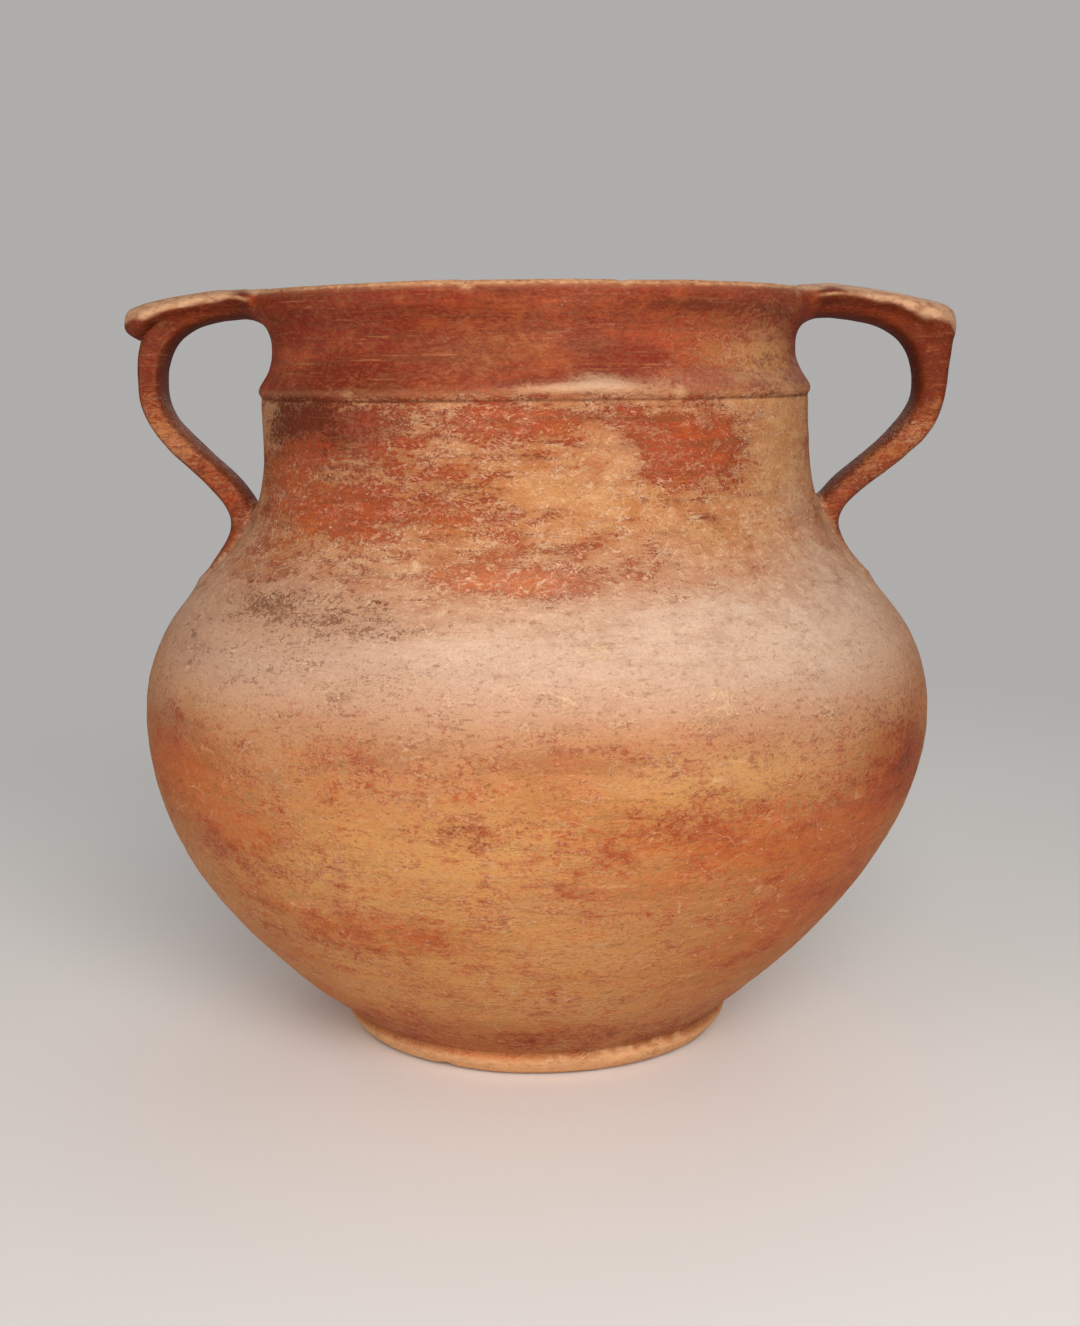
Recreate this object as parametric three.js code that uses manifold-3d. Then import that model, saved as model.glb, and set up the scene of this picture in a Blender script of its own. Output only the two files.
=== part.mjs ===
// An ancient pottery vase: a wide-mouthed jar thrown on a wheel, with a ridged neck, a low foot and
// two strap handles that rise from the shoulder to the rim and end in a projecting thumb rest.
// It is one piece of fired clay, so it is one mesh. Millimetres, +Z up. The origin is on the vase's
// axis, on the surface that it stands on, and the handles lie along +X and -X.

import * as THREE from "three";
import { mergeVertices } from "three/addons/utils/BufferGeometryUtils.js";
import Module from "manifold-3d";

// Rim and neck
const rimHeight = 270; // the flat top of the rim
const lipRadius = 99.5; // outermost edge of the everted lip
const lipRounding = 2.4; // rounding of the lip's outer and inner edges
const lipFace = 5.5; // height of the lip's outer face
const lipWidth = 7; // from the mouth out to the lip's outermost edge
const neckLength = 36; // from the ridge up to the rim
const waistRadius = 93.7; // narrowest part of the hollowed band above the ridge
const waistDrop = 19; // from the rim down to that narrowest part
const ridgeStand = 0.8; // how far the ridge stands out from the neck below it
const ridgeWidth = 3.2; // height of the ridge's outer face
const neckShift = 1.2; // the hollowed band lies this far towards -X
const rimTilt = 0.7; // the rim is this much higher at +X, and as much lower at -X

// Body
const neckRadius = 98.7; // straight neck below the ridge
const neckStraight = 13; // from the ridge down to where the neck begins to spread
const neckPull = 61; // reach of the hollow curve under the neck
const bellyRadius = 142.8;
const bellyHeight = 120.6; // height of the widest part
const shoulderPull = 52; // fullness of the belly above its widest part
const lowerPull = 57.7; // fullness of the belly below its widest part
const lowerWallAngle = 38; // degrees above the horizontal, at the foot
const lowerWallPull = 12; // length over which the wall keeps that angle
const sagShift = 2.5; // the lower body lies this far towards -X
const sagLow = 30; // heights between which it does so fully
const sagHigh = 54;
const shoulderShift = 0.5; // and the shoulder this far towards +X
const wall = 6.5; // thickness of the body's wall
const neckWall = 5.5; // thickness of the wall at the neck's narrowest part

// Foot
const footHeight = 8.2;
const footTopRadius = 72.6;
const footTaper = 5.3; // the foot narrows by this much, down to the ground
const footNotch = 1.4; // height of the turned groove between the foot and the wall
const footLedge = 2.4; // depth of that groove, from the foot's top edge in to the wall
const footRingWidth = 14; // flat ring that the vase stands on
const footRecess = 3.2; // depth of the hollow turned in the underside
const recessSlope = 3; // width of the sloping side of that hollow
const floorThickness = 9; // clay under the middle of the inside

// Handles. Each is a strap that leaves the rim, turns down, and swings in to the foot of the neck.
const strapWidth = 24;
const strapRootWidth = 36; // spread of the clay where the strap is pressed on
const strapTopDrop = 4; // from the rim down to the strap's centre line, at the neck
const heelDrop = 34; // from the foot of the straight neck down to the strap's heel
const rootLength = 27; // from the heel down to the end of the pressed-on clay, inside the wall
const rootSink = 5; // how deep the centre line ends in the wall
const restThickness = 5.5; // thumb rest
const restRise = 1.6; // how far the thumb rest stands above the rim
const restWaistWidth = 30;
const restTipWidth = 34;
const restRootWidth = 52; // where the thumb rest runs into the rim
const restDroop = 2.2; // how far the thumb rest's long edges hang below its middle, at the tip
const rightHandle = {
  side: 1,
  turnThickness: 11, // of the strap, at its turn
  heelThickness: 9.3, // of the strap, where it swings in to the neck
  reach: 143.8, // from the axis to the strap's centre line, at its turn
  turnDrop: 33, // from the rim down to that turn
  heelStand: 0, // from the wall out to the strap's centre line, at the heel
  restOverhang: 8.2, // from the strap's centre line at its turn out to the thumb rest's tip
  restDrop: 8.4, // fall of the thumb rest's top from the rim to its tip
  cornerFill: 12, // clay in the corner between the strap and the thumb rest's tip
};
const leftHandle = {
  side: -1,
  turnThickness: 9,
  heelThickness: 9.8,
  reach: 138.1,
  turnDrop: 34,
  heelStand: 2.3,
  restOverhang: 9.1,
  restDrop: 7.5,
  cornerFill: 8.5,
};

// Fineness of the faceted surfaces
const aroundSteps = 56;
const strapSteps = 26;
const restSteps = 12;
const sectionSteps = 16;

const ridgeHeight = rimHeight - neckLength;
const waistHeight = rimHeight - waistDrop;
const neckFootHeight = ridgeHeight - neckStraight;
const heelHeight = neckFootHeight - heelDrop;
const rootHeight = heelHeight - rootLength;
const mouthRadius = lipRadius - lipWidth;
const footBottomRadius = footTopRadius - footTaper;
const strapColour = 0xb5653a;

// The outline of the belly and shoulder, from the foot up to the straight neck, as two curves.
function bodyCurves() {
  const slope = THREE.MathUtils.degToRad(lowerWallAngle);
  const wallStart = new THREE.Vector2(footTopRadius - footLedge, footHeight + footNotch);
  const lower = new THREE.CubicBezierCurve(
    wallStart,
    wallStart.clone().add(new THREE.Vector2(Math.cos(slope), Math.sin(slope)).multiplyScalar(lowerWallPull)),
    new THREE.Vector2(bellyRadius, bellyHeight - lowerPull),
    new THREE.Vector2(bellyRadius, bellyHeight),
  );
  const upper = new THREE.CubicBezierCurve(
    new THREE.Vector2(bellyRadius, bellyHeight),
    new THREE.Vector2(bellyRadius, bellyHeight + shoulderPull),
    new THREE.Vector2(neckRadius, neckFootHeight - neckPull),
    new THREE.Vector2(neckRadius, neckFootHeight),
  );
  return { lower, upper };
}

// The hollowed band between the ridge and the lip, moved inwards by inset.
function waistCurves(inset, topRadius, topHeight, bottomRadius, bottomHeight) {
  const radius = waistRadius - inset;
  const lower = new THREE.QuadraticBezierCurve(
    new THREE.Vector2(bottomRadius, bottomHeight),
    new THREE.Vector2(radius, (bottomHeight * 2 + waistHeight) / 3),
    new THREE.Vector2(radius, waistHeight),
  );
  const upper = new THREE.QuadraticBezierCurve(
    new THREE.Vector2(radius, waistHeight),
    new THREE.Vector2(radius, (waistHeight + topHeight * 2) / 3),
    new THREE.Vector2(topRadius, topHeight),
  );
  return { lower, upper };
}

function outerOutline() {
  const { lower, upper } = bodyCurves();
  const ringInside = footBottomRadius - footRingWidth;
  const lipLow = rimHeight - lipRounding - lipFace;
  const waist = waistCurves(0, lipRadius, lipLow, neckRadius, ridgeHeight + ridgeWidth / 2);
  const outline = [
    new THREE.Vector2(0, footRecess),
    new THREE.Vector2(ringInside - recessSlope, footRecess),
    new THREE.Vector2(ringInside, 0),
    new THREE.Vector2(footBottomRadius - 1, 0),
    new THREE.Vector2(footBottomRadius, 1),
    new THREE.Vector2(footTopRadius, footHeight - 1),
    new THREE.Vector2(footTopRadius - 0.6, footHeight),
    ...lower.getPoints(8),
    ...upper.getPoints(10).slice(1),
    new THREE.Vector2(neckRadius, ridgeHeight - ridgeWidth / 2),
    new THREE.Vector2(neckRadius + ridgeStand, ridgeHeight - ridgeWidth / 4),
    new THREE.Vector2(neckRadius + ridgeStand, ridgeHeight + ridgeWidth / 4),
    ...waist.lower.getPoints(3),
    ...waist.upper.getPoints(3).slice(1),
    new THREE.Vector2(lipRadius, rimHeight - lipRounding),
    new THREE.Vector2(lipRadius - lipRounding * 0.3, rimHeight - lipRounding * 0.3),
    new THREE.Vector2(lipRadius - lipRounding, rimHeight),
    new THREE.Vector2(0, rimHeight),
  ];
  return outline;
}

// The inside: the body's curves moved inwards by the wall, over a floor of its own thickness.
function cavityOutline() {
  const { lower, upper } = bodyCurves();
  const inwards = (curve, count) =>
    Array.from({ length: count + 1 }, (_, i) => {
      const point = curve.getPoint(i / count);
      const tangent = curve.getTangent(i / count);
      return new THREE.Vector2(point.x - tangent.y * wall, point.y + tangent.x * wall);
    });
  const floorHeight = footRecess + floorThickness;
  const side = inwards(lower, 8).filter((point) => point.y > floorHeight + wall);
  const floorEdge = side[0].x - wall * 2;
  const waist = waistCurves(
    neckWall,
    mouthRadius,
    rimHeight - lipRounding * 2,
    neckRadius - wall,
    ridgeHeight - ridgeWidth,
  );
  return [
    new THREE.Vector2(0, floorHeight),
    new THREE.Vector2(floorEdge * 0.6, floorHeight),
    new THREE.Vector2(floorEdge, floorHeight + wall * 0.3),
    ...side,
    ...inwards(upper, 7).slice(1),
    ...waist.lower.getPoints(2),
    ...waist.upper.getPoints(2).slice(1),
    new THREE.Vector2(mouthRadius, rimHeight - lipRounding),
    new THREE.Vector2(mouthRadius + lipRounding * 0.3, rimHeight - lipRounding * 0.3),
    new THREE.Vector2(mouthRadius + lipRounding, rimHeight),
    new THREE.Vector2(mouthRadius + lipRounding, rimHeight + restRise * 4),
    new THREE.Vector2(0, rimHeight + restRise * 4),
  ];
}

function turned(outline) {
  return new THREE.LatheGeometry(outline, aroundSteps).rotateX(Math.PI / 2);
}

// The hand's unevenness: the lower body and the neck lie a little off the axis, and the rim is tilted.
function unevenness(point) {
  const { smoothstep } = THREE.MathUtils;
  const sag = smoothstep(point.z, 0, sagLow) * (1 - smoothstep(point.z, sagHigh, bellyHeight));
  const shoulder = smoothstep(point.z, bellyHeight, (bellyHeight + heelHeight) / 2);
  const neck = smoothstep(point.z, heelHeight, waistHeight);
  const tilt = smoothstep(point.z, neckFootHeight, rimHeight);
  point.z += (rimTilt * tilt * point.x) / lipRadius;
  point.x += shoulderShift * shoulder * (1 - neck) - sagShift * sag - neckShift * neck;
}

// The outer radius of the plain body at a height, read from its outline.
function wallRadiusAt(height) {
  const outline = outerOutline();
  for (let i = 1; i < outline.length; i++) {
    const [low, high] = [outline[i - 1], outline[i]];
    if (low.y < height && height <= high.y && high.y > footHeight)
      return THREE.MathUtils.mapLinear(height, low.y, high.y, low.x, high.x);
  }
  return neckRadius;
}

// A closed skin through rings of points that all have the same count.
function loft(rings) {
  const count = rings[0].length;
  const points = rings.flat();
  const triangles = [];
  for (let r = 0; r + 1 < rings.length; r++)
    for (let i = 0; i < count; i++) {
      const [a, b] = [r * count + i, r * count + ((i + 1) % count)];
      triangles.push(a, b, a + count, b, b + count, a + count);
    }
  const last = (rings.length - 1) * count;
  for (let i = 1; i + 1 < count; i++) triangles.push(0, i + 1, i, last, last + i, last + i + 1);
  const geometry = new THREE.BufferGeometry().setFromPoints(points);
  geometry.setIndex(triangles);
  return geometry;
}

// A rounded, slightly squared section. It is wide along Y and thick along up, and the middle of its
// width stands clear of its long edges by sag, a vector.
function section(centre, up, halfWidth, halfThickness, sag) {
  return Array.from({ length: sectionSteps }, (_, i) => {
    const angle = (i / sectionSteps) * Math.PI * 2;
    const squared = (value) => Math.sign(value) * Math.abs(value) ** 0.72;
    const across = squared(Math.cos(angle));
    const point = centre.clone().addScaledVector(up, squared(Math.sin(angle)) * halfThickness);
    point.y += across * halfWidth;
    return point.addScaledVector(sag, across * across);
  });
}

// The strap's centre line: out from the rim, down, in to the neck, and down along the shoulder.
function strapPath(handle) {
  const at = (x, z) => new THREE.Vector3(x, 0, z);
  const topHeight = rimHeight - strapTopDrop;
  const heelReach = wallRadiusAt(heelHeight) + handle.heelStand;
  const rootReach = wallRadiusAt(rootHeight) - rootSink;
  const turnHeight = rimHeight - handle.turnDrop;
  const fall = topHeight - turnHeight;
  const swing = turnHeight - heelHeight;
  const run = handle.reach - mouthRadius;
  const path = new THREE.CurvePath();
  path.add(
    new THREE.CubicBezierCurve3(
      at(mouthRadius, topHeight),
      at(mouthRadius + run * 0.72, topHeight + 1.2),
      at(handle.reach, turnHeight + fall * 0.74),
      at(handle.reach, turnHeight),
    ),
  );
  path.add(
    new THREE.CubicBezierCurve3(
      at(handle.reach, turnHeight),
      at(handle.reach, turnHeight - swing * 0.47),
      at(heelReach, heelHeight + swing * 0.36),
      at(heelReach, heelHeight),
    ),
  );
  path.add(
    new THREE.QuadraticBezierCurve3(
      at(heelReach, heelHeight),
      at(heelReach, (heelHeight * 1.2 + rootHeight * 0.8) / 2),
      at(rootReach, rootHeight),
    ),
  );
  return path;
}

function strap(handle) {
  const { lerp, smoothstep } = THREE.MathUtils;
  const path = strapPath(handle);
  const rings = [];
  for (let i = 0; i <= strapSteps; i++) {
    const share = i / strapSteps;
    const centre = path.getPointAt(share);
    const tangent = path.getTangentAt(share);
    const outwards = new THREE.Vector3(-tangent.z, 0, tangent.x);
    const root = smoothstep(share, 0.74, 0.94);
    const topRoot = 1 - smoothstep(share, 0.02, 0.16);
    const width = strapWidth + (strapRootWidth - strapWidth) * Math.max(root, topRoot);
    const thickness = lerp(handle.turnThickness, handle.heelThickness, smoothstep(share, 0.45, 0.7));
    const hug = new THREE.Vector3((-root * width ** 2) / (8 * centre.x), 0, 0);
    rings.push(section(centre, outwards, width / 2, thickness / 2, hug));
  }
  return loft(rings);
}

// The thumb rest: a tongue that runs out from the rim over the strap. It falls and droops to a
// rounded tip, and near the tip clay fills the corner down to the strap.
function thumbRest(handle) {
  const { clamp, lerp, smoothstep } = THREE.MathUtils;
  const tipReach = handle.reach + handle.restOverhang;
  const rings = [];
  for (let i = 0; i <= restSteps; i++) {
    const reach = lerp(mouthRadius, tipReach, Math.sin(((i / restSteps) * Math.PI) / 2));
    const past = Math.max(0, (reach - lipRadius) / (tipReach - lipRadius));
    const rounding = Math.sqrt(1 - clamp((past - 0.7) / 0.302, 0, 1) ** 2);
    const spread = 1 - smoothstep(past, 0, 0.4);
    const width = lerp(restWaistWidth, restTipWidth, past) + (restRootWidth - restWaistWidth) * spread ** 2;
    const fill = handle.cornerFill * smoothstep(past, 0.5, 0.8) * rounding;
    const thickness = restThickness * (0.4 + 0.6 * rounding) + fill;
    const top = rimHeight + restRise * smoothstep(past, 0, 0.12) - handle.restDrop * past ** 2.1;
    const centre = new THREE.Vector3(reach, 0, top - thickness / 2);
    const droop = new THREE.Vector3(0, 0, -restDroop * past);
    rings.push(section(centre, new THREE.Vector3(0, 0, 1), (width / 2) * rounding, thickness / 2, droop));
  }
  return loft(rings);
}

const wasm = await Module();
wasm.setup();

// A closed geometry as a solid that can be joined and cut, its faces turned to point out.
function solid(geometry) {
  geometry.deleteAttribute("normal");
  geometry.deleteAttribute("uv");
  const merged = mergeVertices(geometry, 1e-3);
  const corners = merged.index.array;
  const kept = [];
  for (let i = 0; i < corners.length; i += 3) {
    const [a, b, c] = [corners[i], corners[i + 1], corners[i + 2]];
    if (a !== b && b !== c && c !== a) kept.push(a, b, c);
  }
  const positions = merged.getAttribute("position").array;
  const build = (triVerts) =>
    new wasm.Manifold(
      new wasm.Mesh({ numProp: 3, vertProperties: positions, triVerts: new Uint32Array(triVerts) }),
    );
  const made = build(kept);
  return made.volume() > 0 ? made : build(kept.reverse());
}

function geometryOf(made) {
  const mesh = made.getMesh();
  const geometry = new THREE.BufferGeometry();
  const position = new THREE.BufferAttribute(mesh.vertProperties, 3);
  const point = new THREE.Vector3();
  for (let i = 0; i < position.count; i++) {
    point.fromBufferAttribute(position, i);
    unevenness(point);
    position.setXYZ(i, point.x, point.y, point.z);
  }
  geometry.setAttribute("position", position);
  geometry.setIndex(new THREE.BufferAttribute(mesh.triVerts, 1));
  geometry.computeVertexNormals();
  return geometry;
}

function handleSolid(handle) {
  const made = solid(strap(handle)).add(solid(thumbRest(handle)));
  return handle.side > 0 ? made : made.mirror([1, 0, 0]);
}

function vase() {
  let made = solid(turned(outerOutline()));
  for (const handle of [rightHandle, leftHandle]) made = made.add(handleSolid(handle));
  made = made.subtract(solid(turned(cavityOutline())));
  const clay = new THREE.MeshStandardMaterial({ color: strapColour, roughness: 0.62, metalness: 0 });
  const mesh = new THREE.Mesh(geometryOf(made), clay);
  mesh.name = "vase";
  return mesh;
}

const group = new THREE.Group();
group.name = "pottery_vase";
group.add(vase());

export default group;
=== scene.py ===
import math
from types import SimpleNamespace

import bpy
import numpy as np
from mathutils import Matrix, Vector, noise
from mathutils.bvhtree import BVHTree


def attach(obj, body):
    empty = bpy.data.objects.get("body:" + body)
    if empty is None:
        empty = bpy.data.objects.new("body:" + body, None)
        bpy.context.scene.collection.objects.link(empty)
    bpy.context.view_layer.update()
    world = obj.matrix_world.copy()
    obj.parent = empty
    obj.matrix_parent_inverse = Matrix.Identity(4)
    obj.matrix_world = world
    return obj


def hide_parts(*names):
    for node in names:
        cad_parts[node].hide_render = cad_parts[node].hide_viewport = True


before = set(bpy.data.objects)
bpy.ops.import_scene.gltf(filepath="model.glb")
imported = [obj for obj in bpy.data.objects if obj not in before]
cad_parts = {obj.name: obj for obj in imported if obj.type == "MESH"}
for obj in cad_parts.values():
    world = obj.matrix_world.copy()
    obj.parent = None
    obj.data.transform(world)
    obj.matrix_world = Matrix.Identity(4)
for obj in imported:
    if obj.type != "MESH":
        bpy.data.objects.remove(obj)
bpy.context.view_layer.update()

mm = 0.001

# Rim and neck
rim_height = 270 * mm
lip_radius = 99.5 * mm
lip_rounding = 2.4 * mm
lip_face = 5.5 * mm
lip_width = 7 * mm
lip_step = 0.7 * mm
neck_length = 36 * mm
waist_radius = 93.7 * mm
waist_drop = 19 * mm
ridge_stand = 1.0 * mm
ridge_groove = 0.7 * mm
neck_shift = 1.2 * mm
rim_tilt = 0.7 * mm
ridge_lift = 0.7 * mm
ridge_tilt = 0.8 * mm

# Body
neck_radius = 98.65 * mm
neck_straight = 19 * mm
belly_radius = 142.8 * mm
belly_height = 120.6 * mm
shoulder_radius = 106.53 * mm
shoulder_height = 184.05 * mm
shoulder_angle = math.radians(33.5)
belly_pull = 35.56 * mm
shoulder_pull_below = 19.45 * mm
shoulder_pull_above = 9.84 * mm
lower_pull = 57.7 * mm
lower_wall_angle = math.radians(38)
lower_wall_pull = 12 * mm
sag_shift = 2.5 * mm
sag_low = 30 * mm
sag_high = 54 * mm
shoulder_shift = 0.5 * mm
wall = 6.5 * mm
neck_wall = 5.5 * mm

# Foot
foot_height = 8.2 * mm
foot_top_radius = 72.6 * mm
foot_taper = 5.3 * mm
foot_notch = 1.4 * mm
foot_ledge = 2.4 * mm
foot_rounding = 1.2 * mm
foot_ring_width = 14 * mm
foot_recess = 3.2 * mm
recess_slope = 3 * mm
floor_thickness = 9 * mm

# Handles
strap_width = 24 * mm
strap_root_width = 36 * mm
strap_top_drop = 4.6 * mm
strap_start = 95.5 * mm
side_groove = 1.3 * mm
heel_height = 187 * mm
root_height = 160 * mm
root_sink = 3.2 * mm
root_thickness = 4 * mm
rest_thickness = 6.2 * mm
rest_rise = 1.6 * mm
rest_sink = 0.7 * mm
tip_blunting = 2.6 * mm
rest_web = 3.2 * mm
rest_waist_width = 30 * mm
rest_tip_width = 34 * mm
rest_root_width = 50 * mm
rest_droop = 2.2 * mm
strap_squareness = 0.72
rest_squareness = 0.8
corner_place = 0.3
corner_length = 0.048
web_place = 0.86
web_length = 0.09
handles = {
    "right": {
        "side": 1,
        "turn_thickness": 11.6 * mm,
        "heel_thickness": 9.4 * mm,
        "reach": 143.4 * mm,
        "turn_height": 237 * mm,
        "heel_stand": 0,
        "tip_reach": 152 * mm,
        "rest_drop": 8.4 * mm,
        "corner": 4.6 * mm,
        "highlight_band": 4.5 * mm,
        "highlight_tip": 4 * mm,
    },
    "left": {
        "side": -1,
        "turn_thickness": 9.4 * mm,
        "heel_thickness": 9.8 * mm,
        "reach": 138.1 * mm,
        "turn_height": 236 * mm,
        "heel_stand": 2.3 * mm,
        "tip_reach": 147.2 * mm,
        "rest_drop": 7.5 * mm,
        "corner": 1.2 * mm,
        "highlight_band": 5 * mm,
        "highlight_tip": 0,
    },
}

# Seams between the handles and the body
seam_reach = 6 * mm
seam_touch = 0.05 * mm
seam_search = 0.4 * mm
seam_blur = 2 * mm

# Relief, as the size of its marks and their depth
ring_size = 4.6 * mm
ring_depth = 0.09 * mm
lower_ring_depth = 0.12 * mm
upper_ring_depth = 0.08 * mm
fine_ring_size = 1.9 * mm
fine_ring_depth = 0.04 * mm
broad_size = 62 * mm
broad_depth = 0.45 * mm
lump_size = 21 * mm
lump_depth = 0.16 * mm
small_size = 6.5 * mm
small_depth = 0.06 * mm
spiral_pitch = 13 * mm
floor_spiral_pitch = 12 * mm
spiral_depth = 0.42 * mm
inside_broad_depth = 0.4 * mm
inside_lump_depth = 0.2 * mm
handle_lump_size = 14 * mm
handle_lump_depth = 0.45 * mm
handle_small_size = 5 * mm
handle_small_depth = 0.14 * mm
under_ring_pitch = 4.2 * mm
under_ring_depth = 0.1 * mm
under_lump_depth = 0.15 * mm
crease_size = 9 * mm
crease_depth = 0.9 * mm
dent_height = 0.9 * mm
smear_depth = 2.1 * mm
mark_skin = 4 * mm
mark_grain = 2.5 * mm

# Fineness
turns = 256
strap_sides = 44
strap_cuts = 96
rest_cuts = 36
body_merge = 0.02 * mm
bar_merge = 0.01 * mm

# Worked out from the sizes above
ridge_height = rim_height - neck_length
waist_height = rim_height - waist_drop
mouth_radius = lip_radius - lip_width
foot_bottom_radius = foot_top_radius - foot_taper
ring_inside = foot_bottom_radius - foot_ring_width
neck_foot_height = ridge_height - neck_straight
floor_top = foot_recess + floor_thickness


def smoothstep(value, low, high):
    share = np.clip((value - low) / (high - low), 0, 1)
    return share * share * (3 - 2 * share)


def trace(start, *pieces):
    """A line of (radius, height) points. Each piece is its steps, then the control points of its curve."""
    points = [np.array(start, float)]
    for steps, *controls in pieces:
        corners = np.array([points[-1], *controls], float)
        for share in np.arange(1, steps + 1) / steps:
            spots = corners
            while len(spots) > 1:
                spots = spots[:-1] + (spots[1:] - spots[:-1]) * share
            points.append(spots[0])
    return np.array(points)


def sideways(along):
    """Unit vectors at right angles to these, turned to the left."""
    along = along / np.linalg.norm(along, axis=1)[:, None]
    return np.column_stack((-along[:, 1], along[:, 0]))


def outside_wall():
    """The outside from the groove above the foot up to the ridge, with the neck's straight part."""
    start = np.array((foot_top_radius - foot_ledge, foot_height + foot_notch))
    rising = np.array((math.cos(lower_wall_angle), math.sin(lower_wall_angle)))
    shoulder = np.array((shoulder_radius, shoulder_height))
    leaning = np.array((-math.sin(shoulder_angle), math.cos(shoulder_angle)))
    return trace(
        start,
        (
            76,
            start + rising * lower_wall_pull,
            (belly_radius, belly_height - lower_pull),
            (belly_radius, belly_height),
        ),
        (
            44,
            (belly_radius, belly_height + belly_pull),
            shoulder - leaning * shoulder_pull_below,
            shoulder,
        ),
        (
            20,
            shoulder + leaning * shoulder_pull_above,
            (neck_radius, neck_foot_height - 10 * mm),
            (neck_radius, neck_foot_height),
        ),
        (9, (neck_radius, ridge_height - 3.2 * mm)),
    )


def wall_section():
    """The wall's section: from the middle of the underside, up the outside, over the lip, down the
    inside and in to the middle of the floor."""
    crest = neck_radius + ridge_stand
    lip_low = rim_height - lip_rounding - lip_face
    underside = trace(
        (0, foot_recess),
        (5, (ring_inside - recess_slope, foot_recess)),
        (3, (ring_inside - recess_slope * 0.4, foot_recess), (ring_inside, 0)),
        (3, (foot_bottom_radius - foot_rounding, 0)),
        (3, (foot_bottom_radius, 0), (foot_bottom_radius + 0.5 * mm, foot_rounding)),
        (5, (foot_top_radius, foot_height - foot_rounding)),
        (3, (foot_top_radius + 0.2 * mm, foot_height), (foot_top_radius - foot_rounding, foot_height)),
        (3, (foot_top_radius - foot_ledge * 1.35, foot_height + 0.2 * mm),
         (foot_top_radius - foot_ledge, foot_height + foot_notch)),
    )
    side = outside_wall()
    neck = trace(
        side[-1],
        (4, (neck_radius, ridge_height - 2.4 * mm),
         (neck_radius - ridge_groove, ridge_height - 1.9 * mm)),
        (4, (neck_radius - ridge_groove, ridge_height - 1.2 * mm), (crest, ridge_height - 1.2 * mm),
         (crest, ridge_height - 0.2 * mm)),
        (4, (crest, ridge_height + 1.1 * mm), (crest - 0.7 * mm, ridge_height + 2.2 * mm)),
        (14, (waist_radius + 0.6 * mm, ridge_height + 8 * mm), (waist_radius, ridge_height + 11 * mm),
         (waist_radius, waist_height)),
        (8, (waist_radius, waist_height + 5 * mm), (lip_radius - lip_step - 2.4 * mm, lip_low - 3 * mm),
         (lip_radius - lip_step, lip_low + 0.4 * mm)),
        (3, (lip_radius - lip_step * 0.2, lip_low + 0.5 * mm), (lip_radius, lip_low + 1.6 * mm)),
        (4, (lip_radius + 0.2 * mm, rim_height - lip_rounding * 1.3),
         (lip_radius, rim_height - lip_rounding)),
        (5, (lip_radius - lip_rounding * 0.25, rim_height - lip_rounding * 0.1),
         (lip_radius - lip_rounding, rim_height)),
        (3, (mouth_radius + lip_rounding, rim_height)),
        (5, (mouth_radius + lip_rounding * 0.2, rim_height - lip_rounding * 0.1),
         (mouth_radius, rim_height - lip_rounding)),
        (7, (waist_radius - neck_wall, waist_height + 10 * mm), (waist_radius - neck_wall, waist_height)),
        (8, (waist_radius - neck_wall, ridge_height + 4 * mm),
         (neck_radius - wall, ridge_height - 3.2 * mm)),
    )
    inside = side + sideways(np.gradient(side, axis=0)) * wall
    inside = inside[::-1][3::3]
    inside = inside[inside[:, 1] > floor_top + wall]
    edge = inside[-1]
    floor = trace(
        edge,
        (6, edge - (wall * 0.9, wall * 0.8), (edge[0] - wall * 2.4, floor_top + wall * 0.1),
         (edge[0] - wall * 4, floor_top)),
        (9, (0, floor_top)),
    )
    return np.vstack((underside, side[1:], neck[1:], inside, floor[1:]))


section = wall_section()


def only(thing):
    """Makes one object the active one, with nothing else selected."""
    bpy.ops.object.select_all(action="DESELECT")
    thing.select_set(True)
    bpy.context.view_layer.objects.active = thing


def close_up(thing, gap):
    """Merges what lies within the gap and turns the faces outwards."""
    only(thing)
    bpy.ops.object.mode_set(mode="EDIT")
    bpy.ops.mesh.select_all(action="SELECT")
    bpy.ops.mesh.remove_doubles(threshold=gap)
    bpy.ops.mesh.normals_make_consistent(inside=False)
    bpy.ops.object.mode_set(mode="OBJECT")


def positions(mesh):
    flat = np.empty(len(mesh.vertices) * 3)
    mesh.vertices.foreach_get("co", flat)
    return flat.reshape(-1, 3)


def set_positions(mesh, places):
    mesh.vertices.foreach_set("co", places.ravel())
    mesh.update()


def normals(mesh):
    flat = np.empty(len(mesh.vertices) * 3)
    mesh.vertex_normals.foreach_get("vector", flat)
    return flat.reshape(-1, 3)


def thrown_body():
    """The wall's section drawn as a line, vertex by vertex, and spun round the axis."""
    bpy.ops.object.select_all(action="DESELECT")
    bpy.ops.mesh.primitive_plane_add(size=mm, location=(section[0, 0], 0, section[0, 1]))
    body = bpy.context.object
    body.name = "jar"
    bpy.ops.object.mode_set(mode="EDIT")
    bpy.ops.mesh.merge(type="CENTER")
    for step in np.diff(section, axis=0):
        bpy.ops.mesh.extrude_vertices_move(TRANSFORM_OT_translate={"value": (step[0], 0, step[1])})
    bpy.ops.mesh.select_all(action="SELECT")
    bpy.ops.mesh.spin(steps=turns, angle=math.tau, center=(0, 0, 0), axis=(0, 0, 1))
    bpy.ops.object.mode_set(mode="OBJECT")
    bpy.ops.object.transform_apply(location=True, rotation=True, scale=True)
    close_up(body, body_merge)
    return body


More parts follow.
